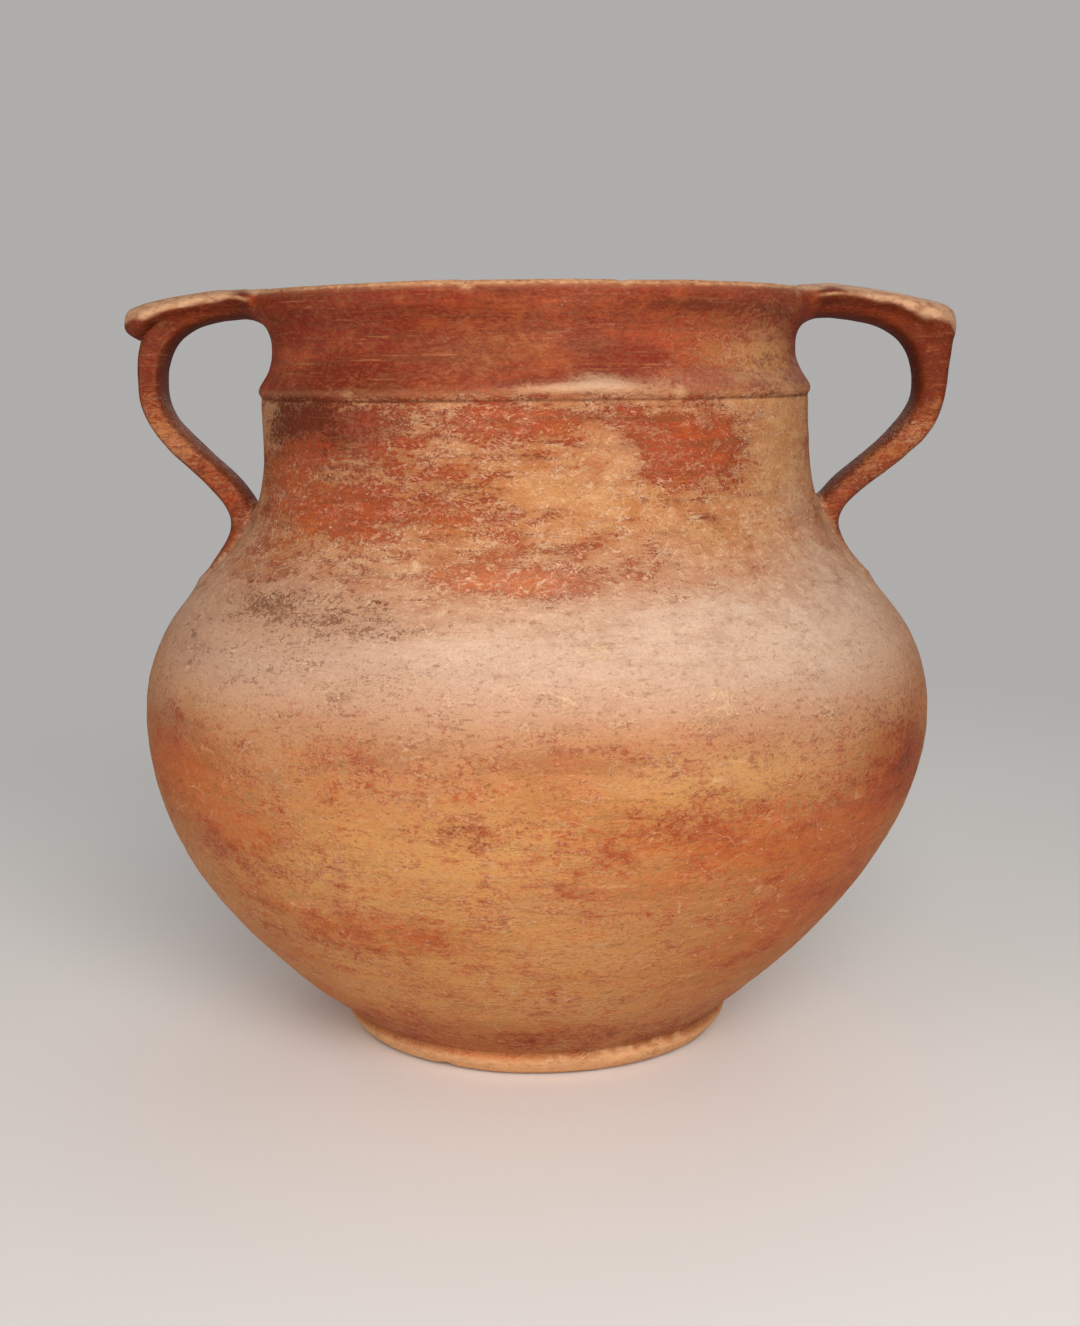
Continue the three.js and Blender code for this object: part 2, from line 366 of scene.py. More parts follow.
def rolled_bar(name, cuts):
    """A round bar of clay, one unit long and of one unit's radius, cut across into rings."""
    bpy.ops.object.select_all(action="DESELECT")
    bpy.ops.mesh.primitive_cylinder_add(vertices=strap_sides, radius=1, depth=1, location=(0, 0, 0.5))
    bar = bpy.context.object
    bar.name = name
    bpy.ops.object.transform_apply(location=True, rotation=True, scale=True)
    lengthwise = [
        abs(bar.data.vertices[a].co.z - bar.data.vertices[b].co.z) > 0.5
        for a, b in (edge.vertices for edge in bar.data.edges)
    ]
    bpy.ops.object.mode_set(mode="EDIT")
    bpy.ops.mesh.select_mode(type="EDGE")
    bpy.ops.mesh.select_all(action="DESELECT")
    bpy.ops.object.mode_set(mode="OBJECT")
    bar.data.edges.foreach_set("select", lengthwise)
    bpy.ops.object.mode_set(mode="EDIT")
    bpy.ops.mesh.subdivide(number_cuts=cuts)
    bpy.ops.mesh.select_mode(type="VERT")
    bpy.ops.object.mode_set(mode="OBJECT")
    return bar


def wall_radius(height):
    """The radius of the plain outside below the ridge."""
    side = outside_wall()
    return np.interp(height, side[:, 1], side[:, 0])


def strap_line(handle):
    """The strap's centre line, as (reach, height): out from the rim, down, in, and along the shoulder."""
    reach = handle["reach"]
    turn = handle["turn_height"]
    top = rim_height - strap_top_drop
    heel = wall_radius(heel_height) + handle["heel_stand"]
    root = wall_radius(root_height) - root_sink
    run = reach - mouth_radius
    fall = top - turn
    swing = turn - heel_height
    line = trace(
        (strap_start, top),
        (80, (mouth_radius + run * 0.72, top + 1.2 * mm), (reach, turn + fall * 0.74), (reach, turn)),
        (80, (reach, turn - swing * 0.47), (heel, heel_height + swing * 0.36), (heel, heel_height)),
        (50, (heel, (heel_height * 1.2 + root_height * 0.8) / 2), (root, root_height)),
    )
    lengths = np.concatenate(([0], np.cumsum(np.linalg.norm(np.diff(line, axis=0), axis=1))))
    return line, lengths / lengths[-1]


def on_line(line, lengths, share):
    """The points that lie at these shares of the line's length."""
    return np.column_stack([np.interp(share, lengths, line[:, k]) for k in (0, 1)])


def squared(value, power):
    """Turns the waves of a round outline into those of one with flatter sides."""
    return np.sign(value) * np.abs(value) ** power


def strap(name, handle):
    """A rolled bar flattened into the strap. Its narrow sides are slightly hollow between rounded edges."""
    bar = rolled_bar(name, strap_cuts)
    spots = positions(bar.data)
    share = spots[:, 2]
    angle = np.arctan2(spots[:, 1], spots[:, 0])
    line, lengths = strap_line(handle)
    centre = on_line(line, lengths, share)
    outwards = sideways(on_line(line, lengths, share + 0.006) - on_line(line, lengths, share - 0.006))
    root = smoothstep(share, 0.74, 0.94)
    top_root = 1 - smoothstep(share, 0.0, 0.15)
    width = strap_width + (strap_root_width - strap_width) * np.maximum(root, top_root)
    to_heel = smoothstep(share, 0.45, 0.7)
    thickness = handle["turn_thickness"] + (handle["heel_thickness"] - handle["turn_thickness"]) * to_heel
    thickness += (root_thickness - thickness) * smoothstep(share, 0.9, 1)
    across = squared(np.cos(angle), strap_squareness)
    up = squared(np.sin(angle), strap_squareness)
    corner = handle["corner"] * np.exp(-(((share - corner_place) / corner_length) ** 2))
    lift = up * thickness / 2 + np.maximum(up, 0) * corner
    hollow = side_groove * (1 - smoothstep(np.abs(up), 0.1, 0.85)) * (1 - np.maximum(root, top_root))
    spread = across * (width / 2 - hollow * np.abs(across) ** 3)
    hug = root * width**2 / (8 * centre[:, 0]) * across**2
    reach = centre[:, 0] + outwards[:, 0] * lift - hug
    height = centre[:, 1] + outwards[:, 1] * lift
    set_positions(bar.data, np.column_stack((reach * handle["side"], spread, height)))
    close_up(bar, bar_merge)
    return bar


def rest_top(handle, reach):
    """The height of the thumb rest's upper side at some distance from the axis."""
    past = np.maximum(0, (reach - lip_radius) / (handle["tip_reach"] - lip_radius))
    sinking = rest_sink * (1 - smoothstep(reach, strap_start, lip_radius))
    return rim_height - sinking + rest_rise * smoothstep(past, 0, 0.12) - handle["rest_drop"] * past**2.1


def rounded_end(past, start, length):
    """1 up to the start, then falling to 0 over the length, as a quarter circle does."""
    share = np.clip((past - start) / length, 0, 1)
    return np.sqrt(np.clip(1 - share**2, 0, 1))


def thumb_rest(name, handle):
    """A rolled bar flattened into the tongue over the strap, falling and drooping to a blunt tip."""
    bar = rolled_bar(name, rest_cuts)
    spots = positions(bar.data)
    angle = np.arctan2(spots[:, 1], spots[:, 0])
    tip = handle["tip_reach"]
    reach = strap_start + (tip - strap_start) * np.sin(spots[:, 2] * math.pi / 2)
    past = np.maximum(0, (reach - lip_radius) / (tip - lip_radius))
    plan = rounded_end(past, 0.7, 0.3)
    nose = rounded_end(past, 0.93, 0.07)
    spread = 1 - smoothstep(past, 0, 0.4)
    width = rest_waist_width + (rest_tip_width - rest_waist_width) * past
    width = width + (rest_root_width - rest_waist_width) * spread**2
    across = squared(np.cos(angle), rest_squareness)
    up = squared(np.sin(angle), rest_squareness)
    thickness = rest_thickness * (0.75 + 0.25 * smoothstep(past, 0, 0.3)) * nose
    web = rest_web * np.exp(-(((past - web_place) / web_length) ** 2))
    blunt = (tip_blunting * smoothstep(past, 0.5, 0.9) + web) * nose * np.maximum(0, -up)
    middle = rest_top(handle, reach) - rest_thickness / 2
    height = middle + up * thickness / 2 - blunt - rest_droop * past * across**2
    set_positions(bar.data, np.column_stack((reach * handle["side"], across * width / 2 * plan, height)))
    close_up(bar, bar_merge)
    return bar


def tree_of(thing):
    return BVHTree.FromPolygons(
        [v.co.copy() for v in thing.data.vertices], [tuple(f.vertices) for f in thing.data.polygons]
    )


def join(body, part):
    """Joins a part to the body, and lays a soft fillet of clay along the seam between them."""
    trees = tree_of(body), tree_of(part)
    low, high = np.min(positions(part.data), axis=0), np.max(positions(part.data), axis=0)
    only(body)
    union = body.modifiers.new("join", "BOOLEAN")
    union.operation = "UNION"
    union.object = part
    union.solver = "MANIFOLD"
    bpy.ops.object.modifier_apply(modifier=union.name)
    bpy.data.objects.remove(part)
    spots = positions(body.data)
    facing = normals(body.data)
    near = np.flatnonzero(np.all((spots > low - seam_reach) & (spots < high + seam_reach), axis=1))
    seam = []
    ways = []
    for index in near:
        hits = [tree.find_nearest(Vector(spots[index]), seam_search) for tree in trees]
        if all(hit[0] is not None for hit in hits) and max(hit[3] for hit in hits) < seam_touch:
            seam.append(spots[index])
            ways.append((hits[0][1] + hits[1][1]) / 2)
    seam = np.array(seam)
    ways = np.array(ways)
    away = np.full(len(spots), 1.0)
    for index in near:
        gaps = np.linalg.norm(seam - spots[index], axis=1)
        away[index] = gaps.min()
        if away[index] < seam_reach:
            closeness = 1 - away[index] / seam_reach
            weights = np.exp(-((gaps / seam_blur) ** 2)) + 1e-12
            way = (ways * weights[:, None]).sum(axis=0) / weights.sum()
            steepness = max(0.55, np.linalg.norm(way))
            way = way / max(1e-6, np.linalg.norm(way))
            way = way * closeness + facing[index] * (1 - closeness)
            spots[index] += way * seam_reach / 4 * closeness**2 / steepness
    set_positions(body.data, spots)
    body.data.vertices.foreach_set("select", away < seam_reach * 1.1)
    bpy.ops.object.mode_set(mode="EDIT")
    bpy.ops.mesh.vertices_smooth(factor=0.5, repeat=4)
    bpy.ops.object.mode_set(mode="OBJECT")


def outer_radius(height):
    """The radius of the plain outside, neck and lip included, read from the wall's section."""
    rise = section[: np.argmax(section[:, 1]) + 1]
    rise = rise[rise[:, 0] > ring_inside]
    return np.interp(height, rise[:, 1], rise[:, 0])


def grain(spots, size, stretch=1, start=0):
    """Smooth noise from -1 to 1, in lumps of about this size, flattened along Z by the stretch."""
    scaled = spots * (1 / size, 1 / size, stretch / size) + start
    return np.array([noise.noise(Vector(spot)) for spot in scaled.tolist()])


def blot(azimuth, height, middle, level, half_angle, half_height):
    """A soft oval, 1 in its middle, at an azimuth in degrees and a height in millimetres."""
    return np.exp(
        -(((azimuth - middle) / half_angle) ** 2) - ((height / mm - level) / half_height) ** 2
    )


def lean(body):
    """The hand's unevenness: body and neck lie a little off the axis, and the rim is tilted."""
    spots = positions(body.data)
    height = spots[:, 2]
    sag = smoothstep(height, 0, sag_low) * (1 - smoothstep(height, sag_high, belly_height))
    shoulder = smoothstep(height, belly_height, (belly_height + heel_height) / 2)
    neck = smoothstep(height, heel_height, waist_height)
    tilt = smoothstep(height, ridge_height - 13 * mm, rim_height)
    near_ridge = smoothstep(height, 200 * mm, 228 * mm) * (1 - smoothstep(height, 240 * mm, 262 * mm))
    near_ridge *= np.hypot(spots[:, 0], spots[:, 1]) < neck_radius + 2 * mm
    across = spots[:, 0] / lip_radius
    spots[:, 2] += rim_tilt * tilt * across + (ridge_lift + ridge_tilt * across) * near_ridge
    spots[:, 0] += shoulder_shift * shoulder * (1 - neck) - sag_shift * sag - neck_shift * neck
    set_positions(body.data, spots)


# Chips and pits, as azimuth in degrees, then height, half width and depth in millimetres
chips = (
    (-12, 268.5, 3.0, 0.7), (17, 269.2, 2.4, 0.5), (64, 269, 3.2, 0.8), (-118, 269, 5.0, 1.2),
    (152, 269, 6.0, 1.4), (101, 268, 3.5, 0.7), (20, 7.8, 3.4, 0.6), (26, 7.6, 4.2, 0.9),
    (32, 7.4, 3.0, 0.8), (38, 7.8, 4.4, 0.9), (45, 7.6, 3.2, 0.8), (8, 7.8, 2.2, 0.5),
    (-28, 0.6, 4.0, 0.8), (124, 7.4, 5.0, 1.0), (-150, 1.0, 6.0, 1.1), (-171, 7.2, 3.6, 0.7),
    (-37, 234.4, 2.4, 0.5), (28, 234.4, 3.0, 0.4), (140, 234.4, 4.0, 0.6),
)
pits = (
    (-11.5, 106.5, 3.2, 1.3), (-9.5, 105.6, 2.4, 1.0), (-2.2, 109.5, 3.6, 1.4),
    (-31, 152, 2.4, 0.5), (-26, 148, 2.0, 0.5), (38, 139, 2.2, 0.5), (12, 62, 2.4, 0.5),
    (-20, 44, 2.6, 0.5), (96, 118, 3.4, 0.8), (131, 84, 3.0, 0.7), (-104, 96, 3.4, 0.8),
    (-141, 133, 2.8, 0.7), (171, 66, 3.6, 0.8), (-163, 172, 2.6, 0.6), (112, 166, 2.6, 0.6),
    (-96, 41, 3.0, 0.7),
)


def knock(spots, facing, marks, flat_share):
    """Presses small hollows into the surface at the marks, and returns how far in one each spot is."""
    radius = np.hypot(spots[:, 0], spots[:, 1])
    bites = np.zeros(len(spots))
    for turn, level, half, depth in marks:
        angle = math.radians(turn)
        near = np.abs(spots[:, 2] - level * mm) < 3 * half * mm
        close = np.flatnonzero(near & (radius > ring_inside))
        out = np.array((math.sin(angle), -math.cos(angle)))
        ahead = spots[close, 0] * out[0] + spots[close, 1] * out[1]
        side = spots[close, 0] * out[1] - spots[close, 1] * out[0]
        rise = spots[close, 2] - level * mm
        outer = ahead > outer_radius(level * mm) - mark_skin
        ragged = grain(spots[close], mark_grain, 1, turn)
        share = np.hypot(side, rise * 1.3) / (half * mm) + 0.35 * ragged
        bite = (1 - smoothstep(share, flat_share, 1)) * outer
        spots[close] -= facing[close] * (bite * depth * mm)[:, None]
        bites[close] += bite
    return bites


def surface_relief(body):
    """The marks of the wheel and of fingers, the dent over the ridge, chips and pits."""
    spots = positions(body.data)
    facing = normals(body.data)
    radius = np.hypot(spots[:, 0], spots[:, 1])
    height = spots[:, 2]
    azimuth = np.degrees(np.arctan2(spots[:, 0], -spots[:, 1]))
    beyond = radius - outer_radius(height)
    on_handle = smoothstep(beyond, 0.6 * mm, 4 * mm) * (height > 120 * mm)
    inner = smoothstep(-beyond, 2 * mm, 4.2 * mm) * (height > floor_top * 0.8)
    under = smoothstep(-facing[:, 2], 0.7, 0.95) * (height < foot_height)
    outer = (1 - on_handle) * (1 - inner) * (1 - under)
    around = np.column_stack((np.sin(np.radians(azimuth)), -np.cos(np.radians(azimuth))))
    rings = grain(np.column_stack((around * 5.5 * mm, height)), ring_size)
    fine_rings = grain(np.column_stack((around * 4 * mm, height)), fine_ring_size, 1, 3)
    broad = grain(spots, broad_size, 1.4, 11)
    lumps = grain(spots, lump_size, 1.8, 5)
    small = grain(spots, small_size, 1.3, 8)
    lower = 1 - smoothstep(height, 60 * mm, 150 * mm)
    upper = smoothstep(height, 185 * mm, 215 * mm)
    wheel = rings * (ring_depth + lower_ring_depth * lower + upper_ring_depth * upper)
    wheel += fine_rings * fine_ring_depth
    lift = outer * (wheel + broad * broad_depth + lumps * lump_depth + small * small_depth)
    spiral = np.sin(height / spiral_pitch * math.tau + np.radians(azimuth))
    floor_spiral = np.sin(radius / floor_spiral_pitch * math.tau + np.radians(azimuth))
    on_floor = (facing[:, 2] > 0.7) & (height < 30 * mm)
    thrown = np.where(on_floor, floor_spiral, spiral)
    strength = np.where(on_floor, smoothstep(radius, 4 * mm, 14 * mm), 1 - upper * 0.6)
    lift += inner * thrown * spiral_depth * strength * (height < 262 * mm)
    lift += inner * (broad * inside_broad_depth + lumps * inside_lump_depth)
    lift += on_handle * grain(spots, handle_lump_size, 1, 21) * handle_lump_depth
    lift += on_handle * grain(spots, handle_small_size, 1, 2) * handle_small_depth
    reach = np.abs(spots[:, 0])
    leaning = np.column_stack((reach * 0.8 + height * 0.6, spots[:, 1], (height * 0.8 - reach * 0.6) * 4))
    below_rest = blot(reach / mm, height, 133, 255.5, 12, 5) * on_handle
    lift += below_rest * facing[:, 1] ** 2 * grain(leaning, crease_size, 1, 31) * crease_depth
    lift += under * np.sin(radius / under_ring_pitch * math.tau) * under_ring_depth
    lift += under * lumps * under_lump_depth
    dent = (blot(azimuth, height, 7, 236.2, 11, 1.7) + blot(azimuth, height, 12, 238, 5, 2.4) * 0.7) * outer
    smear = blot(azimuth, height, 15, 243.5, 8, 4) * outer
    lift += dent * dent_height - smear * smear_depth
    spots += facing * lift[:, None]
    chipped = knock(spots, facing, chips, 0.45)
    knock(spots, facing, pits, 0.1)
    set_positions(body.data, spots)
    return azimuth, height, on_handle, inner, under, chipped


def store(body, name, values):
    """Keeps one number from 0 to 1 for each vertex, under a name that the material reads."""
    layer = body.data.attributes.new(name, "FLOAT", "POINT")
    layer.data.foreach_set("value", np.clip(values, 0, 1).astype(np.float32))


# Where the finishes lie on the front, over what is usual at each height. Each oval is its azimuth in
# degrees, height in millimetres, half widths in degrees and millimetres, and strength.
red_slip = (
    (-50, 255, 24, 13, 0.5), (58, 250, 28, 16, -0.65), (2, 262, 16, 4, 0.2), (20, 249, 8, 5, 0.4),
    # The first two ovals on the next line take the slip away for the painted highlight in the dent over the
    # ridge.
    (9, 236, 12, 2, -1), (12, 238.5, 5, 2.6, -0.7), (-4, 225, 12, 5, 0.35), (25, 214, 6, 9, 0.65),
    (36, 217, 8, 10, 0.65), (13, 217, 5, 8, -0.25), (60, 214, 14, 17, -0.6),
    (-26, 222, 9, 8, 0.15), (-44, 222, 16, 10, 0.6), (-38, 196, 13, 8, 0.6),
    (-60, 202, 12, 14, 0.35), (-14, 197, 6, 3, 0.5), (8, 204, 16, 8, -0.2),
    (42, 190, 20, 14, -0.25), (-4, 177, 13, 3.4, 0.8), (-58, 178, 10, 6, 0.2),
    (20, 165, 30, 10, -0.1), (-62, 112, 16, 15, 0.8), (-44, 96, 12, 10, 0.55),
    (-42, 70, 16, 16, 0.2), (-24, 66, 14, 8, 0.55), (32, 98, 24, 12, 0.65),
    (12, 104, 10, 8, 0.25), (6, 127, 9, 4, 0.35), (-23, 127, 8, 5, 0.25), (44, 60, 16, 18, 0.7),
    (12, 84, 10, 6, 0.25), (62, 112, 12, 17, 0.8), (52, 80, 14, 18, 0.7), (-42, 46, 12, 9, 0.2),
    (22, 120, 11, 6, -0.25), (-6, 92, 12, 10, -0.15), (-14, 210, 8, 4, 0.25),
    (18, 228, 8, 3, 0.2), (-14, 250, 12, 8, -0.12), (-30, 240, 14, 4, -0.25),
)
# Deep slip; on the neck and the handles it is also deepened as painted shade.
deep_slip = (
    (-50, 255, 24, 14, 0.45), (46, 246, 24, 14, -0.5), (18, 245, 8, 4, 0.5),
    (6, 262, 12, 3, -0.3), (-46, 224, 16, 9, 0.6), (-4, 177, 16, 4, -0.3),
    (62, 112, 12, 17, 0.35), (-38, 196, 13, 8, 0.15), (33, 221, 13, 10, 0.05),
    (48, 70, 16, 20, 0.1), (0, 17, 60, 8, 0.35), (-58, 247, 12, 5, -0.5), (-14, 250, 12, 8, -0.1),
)
# Real stains, and painted shade: the thin strip at 262 mm, 32 degrees round, is a painted shadow under the
# lip.
dark_stain = (
    (-51, 228, 10, 6, 1), (-62, 220, 9, 9, 0.6), (-42, 222, 12, 8, 0.3), (-36, 165, 14, 8, 0.46),
    (-50, 168, 10, 7, 0.36), (-23, 166, 6, 5, 0.3), (-5, 262, 6, 6, 0.6), (32, 262, 20, 2.8, 0.9),
    (-38, 241, 18, 4, 0.3), (-46, 236, 20, 2, 0.35), (61, 113, 8, 12, 0.45),
    (-58, 152, 12, 8, 0.25), (40, 12, 20, 4, 0.35), (0, 15, 60, 6, 0.35), (12, 129, 12, 4, 0.08),
    (-22, 201, 4, 4, 0.3), (-46, 243, 12, 4, 0.4), (40, 134, 12, 5, 0.2), (-8, 41, 12, 3, 0.22),
    (-28, 152, 16, 8, 0.2), (52, 50, 10, 20, 0.15), (-24, 135, 12, 8, 0.15),
    (-10.6, 106, 2.2, 1.5, 0.7), (-1.8, 109.2, 2.0, 1.3, 0.7),
)
# A real pale bloom, with a painted sheen where the light falls on the shoulder. The ovals at 236.2 and
# 238.4 mm paint the highlight in the dent over the ridge.
pale_bloom = (
    (26, 161, 20, 12, 0.75), (-8, 157, 24, 8, 0.5), (-44, 148, 20, 10, 0.3),
    (44, 146, 18, 12, 0.35), (58, 170, 12, 14, 0.5), (0, 143, 30, 8, 0.25),
    (64, 192, 10, 14, 0.35), (9, 236.2, 11, 1.6, 0.5), (12, 238.4, 5, 2.2, 0.4),
    (45, 238, 26, 3, 0.3),
)
ochre = (
    (22, 120, 10, 6, 0.9), (0, 100, 20, 14, 0.35), (-30, 84, 22, 18, 0.4), (-6, 58, 20, 14, 0.45),
    (20, 196, 24, 14, 0.3), (-4, 204, 14, 8, 0.3), (54, 240, 16, 12, 0.7), (-8, 249, 15, 9, 0.6),
    (-30, 182, 12, 6, 0.4), (-14, 36, 24, 10, 0.3), (58, 212, 14, 18, 0.3),
    (-62, 100, 16, 26, -0.4), (52, 86, 18, 28, -0.35), (0, 12, 90, 4, -0.5),
)

# The same for each finish at any azimuth: what is usual at some heights in millimetres, how much it
# varies round the hidden sides, what it is on the handles, on the inside and underneath, and how much
# painted shade is added on the side of the straps that faces the neck.
zones = {
    "red_slip": {
        "front": red_slip,
        "usual": ((4, 0.1), (9, 0.5), (24, 0.5), (40, 0.3), (95, 0.27), (120, 0.26), (140, 0.18),
                  (165, 0.14), (178, 0.38), (205, 0.42), (214, 0.4), (231, 0.4), (237, 0.9), (270, 1)),
        "varied": 0.5,
        "handles": ((185, 0.75), (205, 0.7), (222, 0.45), (238, 0.95), (262, 1)),
        "inside": 0.06,
        "under": 0.1,
        "strap_inside_shade": 0,
    },
    "deep_slip": {
        "front": deep_slip,
        "usual": ((20, 0.1), (180, 0.25), (200, 0.4), (230, 0.5), (237, 0.85), (270, 0.9)),
        "varied": 0.5,
        "handles": ((185, 0.8), (222, 0.55), (238, 1), (262, 1)),
        "inside": 0.2,
        "under": 0.2,
        "strap_inside_shade": 0,
    },
    "dark_stain": {
        "front": dark_stain,
        "usual": ((8, 0.12), (22, 0.06), (105, 0.08), (128, 0.26), (145, 0.22), (160, 0.08), (240, 0.1)),
        "varied": 0.45,
        # On the handles this is stain and painted shade, strongest on their upper part.
        "handles": ((185, 0.5), (222, 0.3), (240, 0.8), (262, 0.7)),
        "inside": 0.1,
        "under": 0.05,
        "strap_inside_shade": 0.5,
    },
    "pale_bloom": {
        "front": pale_bloom,
        # The band on the shoulder is partly a painted sheen.
        "usual": ((116, 0), (138, 0.22), (152, 0.5), (168, 0.5), (190, 0.08)),
        "varied": 0.3,
        "handles": ((185, 0), (262, 0)),
        "inside": 0.1,
        "under": 0.1,
        "strap_inside_shade": 0,
    },
    "ochre": {
        "front": ochre,
        "usual": ((20, 0.55), (95, 0.55), (150, 0.25), (200, 0.25), (250, 0.25)),
        "varied": 0.4,
        "handles": ((205, 0.1), (222, 0.5), (240, 0.1)),
        "inside": 0.3,
        "under": 0.5,
        "strap_inside_shade": 0,
    },
}


def bent_edges(body, facing):
    """How sharply the surface bends outwards at each vertex, a little blurred. It is one over the
    radius of the bend, in metres, and below 0 in a hollow."""
    spots = positions(body.data)
    ends = np.empty(len(body.data.edges) * 2, int)
    body.data.edges.foreach_get("vertices", ends)
    one, other = ends.reshape(-1, 2).T
    count = np.bincount(one, minlength=len(spots)) + np.bincount(other, minlength=len(spots))
    span = np.linalg.norm(spots[one] - spots[other], axis=1)
    rise = np.einsum("ij,ij->i", spots[other] - spots[one], facing[one]) / span**2
    fall = np.einsum("ij,ij->i", spots[one] - spots[other], facing[other]) / span**2
    bend = -2 * (np.bincount(one, rise, len(spots)) + np.bincount(other, fall, len(spots))) / count
    for _ in range(2):
        shared = np.bincount(one, bend[other], len(spots)) + np.bincount(other, bend[one], len(spots))
        bend = bend * 0.4 + shared / count * 0.6
    return bend


def rest_highlights(spots, height, inner):
    """A painted highlight along the upper edge of both thumb rests, where their tops face the light,
    carried on to the rim.
    """
    reach = np.hypot(spots[:, 0], spots[:, 1])
    pale = np.zeros(len(spots))
    for handle in handles.values():
        past = smoothstep(reach, 125 * mm, handle["tip_reach"])
        band = handle["highlight_band"] + handle["highlight_tip"] * past
        band = band * (1 + 0.5 * grain(spots, 9 * mm, 1, 3))
        band = band * (0.25 + 0.75 * smoothstep(reach, 101 * mm, 122 * mm))
        brink = rest_top(handle, reach) - band
        own = (spots[:, 0] * handle["side"] > 0) * smoothstep(reach, 95 * mm, 101 * mm)
        own = own * smoothstep(np.abs(spots[:, 1]), 40 * mm, 24 * mm) * (1 - inner)
        pale += smoothstep(height, brink - 0.8 * mm, brink + 0.8 * mm) * own
    return pale


def paint_guides(body, azimuth, height, on_handle, inner, under, chipped):
    """Stores on the mesh where each finish lies, for the clay's material to read."""
    spots = positions(body.data)
    facing = normals(body.data)
    bend = bent_edges(body, facing)
    neck_inside = smoothstep(height, 225 * mm, 262 * mm) * inner
    front = 1 - smoothstep(np.abs(azimuth), 60, 84)
    reach = np.hypot(spots[:, 0], spots[:, 1])
    inwards = -(facing[:, 0] * spots[:, 0] + facing[:, 1] * spots[:, 1]) / reach
    for start, (name, zone) in enumerate(zones.items()):
        share = np.interp(height / mm, *zip(*zone["usual"]))
        placed = sum(blot(azimuth, height, *place[:4]) * place[4] for place in zone["front"])
        scatter = zone["varied"] * grain(spots, 40 * mm, 2.4, 17 + 13 * start)
        outer = share + placed * front + scatter * (1 - front * 0.75)
        share = outer * (1 - inner) + (zone["inside"] + (share - zone["inside"]) * neck_inside) * inner
        on_strap = np.interp(height / mm, *zip(*zone["handles"])) + scatter * 0.35
        # Painted shade on the side of the straps that faces the neck.
        on_strap += zone["strap_inside_shade"] * smoothstep(inwards, 0.1, 0.7)
        share = share * (1 - on_handle) + on_strap * on_handle
        store(body, name, share * (1 - under) + zone["under"] * under)
    above_foot = smoothstep(height, 7 * mm, 14 * mm)
    foot_face = (1 - smoothstep(height, 6.2 * mm, 7.6 * mm)) * (1 - under)
    lip = smoothstep(height, 267.9 * mm, 269.3 * mm) * (1 - on_handle)
    on_neck = smoothstep(height, 232 * mm, 237 * mm) * (1 - on_handle)
    on_ridge = blot(0, height, 0, ridge_height / mm, 1, 4)
    on_ridge = on_ridge * (1 - blot(azimuth, height, 10, 236, 16, 9) * 0.8)
    on_top = smoothstep(height, 262 * mm, 268 * mm)
    worn = smoothstep(bend - 110 * on_handle, 60, 340)
    worn = worn * (0.25 + 0.75 * above_foot) * (1 - 0.65 * on_ridge)
    # Painted shade: hollows are darkened by how sharply they bend inwards, where shade would fall.
    hollow = smoothstep(-bend, 50, 300) * (1 - inner)
    hollow = hollow * (0.2 + 0.8 * above_foot) * (1 - on_top * 0.8)
    store(body, "worn_edge", worn + foot_face + lip + chipped * 0.8)
    store(body, "pale_rest", rest_highlights(spots, height, inner))
    store(body, "crevice", hollow)
    store(body, "crisp", smoothstep(height, 128 * mm, 178 * mm) * (1 - on_neck * 0.75) - on_handle * 0.5)
    store(body, "bare", inner * (1 - neck_inside) + under)


def rgb(red, green, blue):
    """A colour given in screen values from 0 to 255, as the linear light that Blender works in."""
    linear = [((c / 255 + 0.055) / 1.055) ** 2.4 if c > 10 else c / 255 / 12.92 for c in (red, green, blue)]
    return (*linear, 1)


# Colours of the clay and of what lies on it, and of the painted shade and highlights
dark_buff = rgb(168, 106, 60)
light_buff = rgb(200, 148, 100)
pale_buff = rgb(202, 154, 110)
yellow_buff = rgb(202, 148, 88)
orange_slip = rgb(186, 90, 38)
brick_slip = rgb(160, 52, 16)
# The deep red stands partly for painted shade on the neck and the handles.
deep_red = rgb(122, 16, 0)
streak_brown = rgb(134, 58, 20)
patch_brown = rgb(122, 52, 22)
dark_streak = rgb(92, 28, 8)
rubbed_slip = rgb(186, 108, 62)
flake_edge_shadow = rgb(104, 48, 24)
dull_bloom_sheen = rgb(198, 164, 140)
bright_bloom_sheen = rgb(218, 190, 170)
stain_speck = rgb(76, 30, 15)
stain_and_shade_brown = rgb(104, 46, 26)
cream = rgb(224, 186, 148)
pale_line = rgb(212, 150, 100)
dark_line = rgb(108, 48, 24)
dark_dot = rgb(112, 58, 32)
dust_brown = rgb(120, 68, 40)
# Painted shade for the hollows
hollow_shade = rgb(84, 32, 14)
# Painted highlight on the thumb rests
rubbed_edge = rgb(220, 170, 124)
rest_highlight_colour = rgb(214, 168, 130)
inside_dark = rgb(184, 118, 72)
inside_light = rgb(206, 146, 98)


